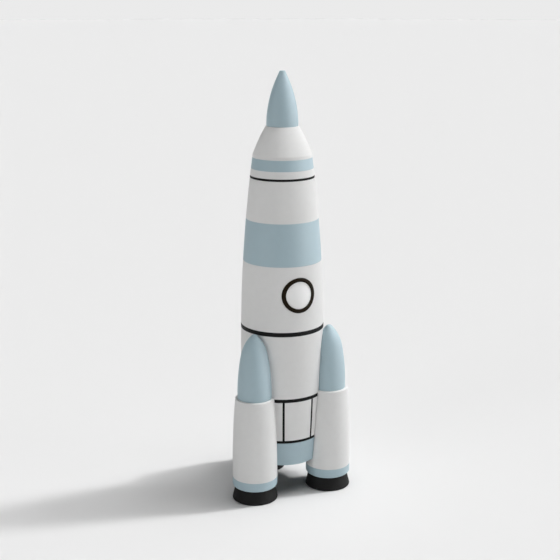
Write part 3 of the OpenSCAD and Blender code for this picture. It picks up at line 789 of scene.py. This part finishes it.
# The booster nose's outline: a long arc, and a tighter one that runs on from it to the tip
nose_centre = Vector((NOSE_R - NOSE_ARC, NOSE_BELLY))
to_tip = Vector((TIP_FLAT, BOOSTER_TIP)) - nose_centre
arc_gap = NOSE_ARC - TIP_ARC
arc_along = (arc_gap ** 2 - TIP_ARC ** 2 + to_tip.length_squared) / (2 * to_tip.length)
tip_centre = nose_centre + (to_tip * arc_along + Vector((to_tip.y, -to_tip.x)) * math.sqrt(
    arc_gap ** 2 - arc_along ** 2)) / to_tip.length
join_z = nose_centre.y + NOSE_ARC * (tip_centre.y - nose_centre.y) / arc_gap


def booster_nose_r(z):
    """Radius of a booster's nose at a height."""
    centre, radius = (nose_centre, NOSE_ARC) if z < join_z else (tip_centre, TIP_ARC)
    return centre.x + math.sqrt(radius ** 2 - (z - centre.y) ** 2)


shell_low = zs("booster_shell_1")[0]
shell_points = [(0, shell_low), (booster_r(shell_low), shell_low, EDGE)]
shell_points += [(booster_r(z), z) for z in along(shell_low, LIP_Z - LIP_DROP, 3)[1:]]
shell_points += [(LIP_R, LIP_Z, LIP_ROUND), (NOSE_R - 1.5, LIP_Z), (0, LIP_Z)]
nose_points = [(0, LIP_Z), (booster_nose_r(LIP_Z), LIP_Z, 0.25)]
nose_points += [(booster_nose_r(z), z) for z in along(LIP_Z, BOOSTER_TIP - TIP_DROP, 2.5)[1:]]
nose_points += [(booster_nose_r(BOOSTER_TIP), BOOSTER_TIP, TIP_ROUND), (0, BOOSTER_TIP)]
CORE_TOP = 150 + GROUND
core = [(0, TAIL - GAP), (body_r(TAIL) + GAP, TAIL - GAP)]
core += [(body_r(z) + GAP, z) for z in along(TAIL, CORE_TOP, 3)[1:]] + [(0, CORE_TOP)]


def saddle(point):
    """The hollow that the body leaves in a booster."""
    off, normal = body_surface(point)
    return off - GAP, -normal


def turned_surface(centre, radius):
    """Surface turned about an upright axis through centre, for clean()."""
    step = 0.05

    def surface(point):
        x, y = point.x - centre[0], point.y - centre[1]
        r = math.hypot(x, y)
        if r < 0.5:
            return 1.0, Vector((0, 0, 1))
        slope = (radius(point.z + step) - radius(point.z - step)) / (2 * step)
        return r - radius(point.z), Vector((x / r, y / r, -slope)).normalized()
    return surface


low, high = zs("booster_band_1")
BAND_ROUND, BAND_T, BAND_FLOOR = 2.2, 2.2, 1.6
band_points = [(0, low), (BOOSTER_R, low, BAND_ROUND), (BOOSTER_R, high, EDGE),
               (BOOSTER_R - BAND_T, high, 0.1), (BOOSTER_R - BAND_T, low + BAND_FLOOR),
               (0, low + BAND_FLOOR)]
FOOT_R, FOOT_TOP, FOOT_ROUND, FOOT_RIM, SOLE_LIFT = 18.2, 15.7, 0.9, 5.0, 1.2
SCREW_HOLE, HEAD_HOLE, HEAD_DEPTH = 1.65, 3.1, 3.2
sole = GROUND + SOLE_LIFT
foot_points = [(SCREW_HOLE, sole + HEAD_DEPTH), (HEAD_HOLE, sole + HEAD_DEPTH, 0.2),
               (HEAD_HOLE, sole, 0.2), (FOOT_R - FOOT_RIM, sole, 0.3),
               (FOOT_R - FOOT_RIM, GROUND, 0.3), (FOOT_R + 0.1, GROUND, FOOT_ROUND),
               (FOOT_TOP, low), (SCREW_HOLE, low)]


def booster(number, angle):
    """Nose and shell, both hollowed by the body, and the band and foot under them."""
    at = (OFFSET * math.cos(math.radians(angle)), OFFSET * math.sin(math.radians(angle)))
    for part, points, paint, slot, radius in (
            ("shell", shell_points, WHITE, "white_plastic", booster_r),
            ("nose", nose_points, BLUE, "blue_plastic", booster_nose_r)):
        made = lathe(f"booster_{part}_{number}", fillet(points, False), paint, slot, closed=False,
                     at=at, facets=BOOSTER_FACETS)
        cut(made, cutter(*lathe_data(core, False, CORE_FACETS)))
        clean(made, [turned_surface(at, radius), saddle])
    lathe(f"booster_band_{number}", fillet(band_points, False), BLUE, "blue_plastic", closed=False,
          at=at, facets=BOOSTER_FACETS)
    lathe(f"booster_foot_{number}", fillet(foot_points), RUBBER, "foot_rubber", at=at,
          facets=BOOSTER_FACETS)


for number, angle in enumerate(BOOSTERS, 1):
    booster(number, angle)

# ------------------------------------------------------------------ rolled parachute

ROLL_PITCH, CLOTH_T, ROLL_START, ROLL_END = 1.3, 0.2, 3.6, 17.3
PER_TURN, LEVELS = 72, 14       # steps round each turn, and up the strip
DENT, RIPPLE, SWAY = 0.025, 0.16, 0.012


def roll_radius(turns):
    """Radius of the rolled cloth after so many turns: a spiral with slow dents and small ripples."""
    turn = 2 * math.pi * turns
    r = ROLL_START + ROLL_PITCH * turns
    dents = DENT * r * math.sin(3 * turn + 0.5 * math.sin(0.7 * turns)) * math.sin(0.25 * turn + 1)
    ripples = RIPPLE * math.sin(11 * turn + 0.9 * turns) * min(1, (turns + 0.2) / 2)
    return r + dents + ripples


def chute_roll():
    """One strip of cloth rolled up on itself. Its layers ripple together and its edges wander."""
    low, high = zs("recovery_chute")
    count = round((ROLL_END - ROLL_START) / ROLL_PITCH * PER_TURN)
    middle, run = [], [0.0]
    for k in range(count + 1):
        turn = 2 * math.pi * (k / PER_TURN)
        r = roll_radius(k / PER_TURN)
        middle.append(Vector((r * math.cos(turn), r * math.sin(turn))))
        if k:
            run.append(run[-1] + (middle[k] - middle[k - 1]).length)
    verts, marks, faces = [], [], []
    for side in (1, -1):
        for k, point in enumerate(middle):
            ahead = middle[min(k + 1, count)] - middle[max(k - 1, 0)]
            off = Vector((ahead.y, -ahead.x)).normalized() * (side * CLOTH_T / 2)
            turns = k / PER_TURN
            bottom = low + 0.15 + 0.12 * math.sin(9 * turns)
            top = high - 0.75 + 0.35 * math.sin(2.3 * turns) + 0.3 * math.sin(23 * turns)
            for level in range(LEVELS + 1):
                t = level / LEVELS
                sway = 1 + SWAY * math.sin(5 * t + 1.7 * turns) * math.sin(math.pi * t)
                spot = (point + off) * sway
                z = bottom + (top - bottom) * t
                verts.append((spot.x, spot.y, z))
                marks.append((run[k] * MM, (z - low) * MM))
    half, row = (count + 1) * (LEVELS + 1), LEVELS + 1
    for k in range(count):
        for level in range(LEVELS):
            a = k * row + level
            faces.append([a, a + row, a + row + 1, a + 1])
            faces.append([half + a, half + a + 1, half + a + row + 1, half + a + row])
        for level in (0, LEVELS):
            a = k * row + level
            faces.append([a, half + a, half + a + row, a + row])
    for k in (0, count):
        for level in range(LEVELS):
            a = k * row + level
            faces.append([a, a + 1, half + a + 1, half + a])
    made = build("recovery_chute", verts, faces, NYLON, "chute_cloth", sharp=60)
    layer = made.data.uv_layers.new(name="UVMap")
    for corner, loop in enumerate(made.data.loops):
        layer.uv[corner].vector = marks[loop.vertex_index]


chute_roll()

# ------------------------------------------------------------------ tubes, lugs and clips

BAY_TUBE_R, MOTOR_BORE, MOTOR_TUBE_R = 20.8, 12.2, 13.2
for node, bore, outside in (("recovery_tube", BAY_BORE, BAY_TUBE_R),
                            ("motor_tube", MOTOR_BORE, MOTOR_TUBE_R)):
    low, high = zs(node)
    lathe(node, fillet([(outside, low, 0.15), (outside, high, 0.15), (bore, high, 0.25),
                        (bore, low, 0.25)]), CARD, "card_tube")

LUG_ANGLE, LUG_OFFSET, LUG_R, LUG_BORE, LUG_WEB = math.radians(30), 37.2, 3.5, 2.6, 2.4
LUG_AT = (LUG_OFFSET * math.cos(LUG_ANGLE), LUG_OFFSET * math.sin(LUG_ANGLE))
WEB_ROOT, WEB_TIP, WEB_BEVEL = 28, LUG_OFFSET - 3, 0.3
LUG_CORE_TOP, LUG_FACETS = 200 + GROUND, 96
lug_core = [(0, TAIL), (body_r(TAIL) + GAP, TAIL)]
lug_core += [(body_r(z) + GAP, z) for z in along(TAIL, LUG_CORE_TOP, 3)[1:]] + [(0, LUG_CORE_TOP)]


def lug_skin(point):
    """Outside of a launch lug's tube."""
    x, y = point.x - LUG_AT[0], point.y - LUG_AT[1]
    r = max(1e-6, math.hypot(x, y))
    return r - LUG_R, Vector((x / r, y / r, 0))


def launch_lug(node):
    """Tube for the launch rod, on a web that meets the body."""
    low, high = zs(node)
    tube = lathe(node, fillet([(LUG_R, low, 0.25), (LUG_R, high, 0.25), (LUG_BORE, high, 0.3),
                               (LUG_BORE, low, 0.3)]), WHITE, "white_plastic", at=LUG_AT,
                 facets=LUG_FACETS)
    web = []
    for z, bevel in ((low + 0.02, WEB_BEVEL), (low + WEB_BEVEL, 0), (high - WEB_BEVEL, 0),
                     (high - 0.02, WEB_BEVEL)):
        half = LUG_WEB / 2 - bevel
        web += [turned(x, y, z, LUG_ANGLE) for x, y in (
            (WEB_ROOT, -half), (WEB_TIP, -half), (WEB_TIP, half), (WEB_ROOT, half))]
    sides = [[a + k, a + (k + 1) % 4, a + 4 + (k + 1) % 4, a + 4 + k]
             for a in (0, 4, 8) for k in range(4)]
    cut(tube, cutter(web, [[3, 2, 1, 0], [12, 13, 14, 15], *sides]), "UNION")
    cut(tube, cutter(*lathe_data(lug_core, False, CORE_FACETS)))
    clean(tube, [lug_skin])


launch_lug("launch_lug_upper")
launch_lug("launch_lug_lower")

CLIP_PIVOT, CLIP_REACH, CLIP_W, CLIP_EYE, CLIP_HOLE = 19.0, 9.3, 5.0, 0.6, 1.55
CLIP_FACETS = 96


def clip_reach(across, ahead):
    """Distance from a clip's pivot to its rim, along a direction: a round eye, then a finger."""
    half = CLIP_W / 2
    end, eye = CLIP_REACH - half, half + CLIP_EYE
    if ahead <= 0:
        return eye
    side = half / max(1e-9, abs(across))
    if side * ahead > end:
        side = end * ahead + math.sqrt(half ** 2 - (end * across) ** 2)
    return max(eye, side)


def motor_clip(number, angle):
    """Flat steel clip with rounded edges, from rings of (fixed radius or none, z, inset)."""
    node = f"motor_clip_{number}"
    low, high = zs(node)
    levels = [(None, low, 0.12), (None, low + 0.12, 0), (None, high - 0.2, 0),
              (None, high - 0.06, 0.06), (None, high, 0.2), (CLIP_HOLE + 0.12, high, 0),
              (CLIP_HOLE, high - 0.12, 0), (CLIP_HOLE, low, 0)]
    verts, faces = [], []
    for fixed, z, inset in levels:
        for k in range(CLIP_FACETS):
            t = 2 * math.pi * k / CLIP_FACETS
            across, ahead = math.cos(t), math.sin(t)
            r = fixed or clip_reach(across, ahead) - inset
            verts.append(turned(CLIP_PIVOT + across * r, ahead * r, z, math.radians(angle)))
    for level in range(len(levels)):
        a, b = level * CLIP_FACETS, (level + 1) % len(levels) * CLIP_FACETS
        faces += [[a + k, a + (k + 1) % CLIP_FACETS, b + (k + 1) % CLIP_FACETS, b + k]
                  for k in range(CLIP_FACETS)]
    build(node, verts, faces, STEEL, "steel", f"clip_{number}")


for number, angle in enumerate((30, 150, 270), 1):
    motor_clip(number, angle)

# ------------------------------------------------------------------ CAD nodes that stay

KEPT = (
    (PLY, ("nose_bulkhead", "forward_centering_ring", "mid_centering_ring", "thrust_ring",
           "motor_centering_ring", "booster_plate_1", "booster_plate_2", "booster_plate_3")),
    (STEEL, ("nose_eyelet", "eyelet_nut", "nose_weight_screw", "porthole_clip", "ejection_baffle",
             "clip_screws", "booster_screws", "foot_screws")),
    (BRASS, ("nose_weight",)),
    (BLACK, ("tail_plate",)),
)
for paint, nodes in KEPT:
    for node in nodes:
        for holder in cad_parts[node].material_slots:
            holder.material = paint

# ------------------------------------------------------------------ sizes

low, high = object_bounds()
{"cad": [list(cad_low), list(cad_high)], "visual": [list(low), list(high)]}
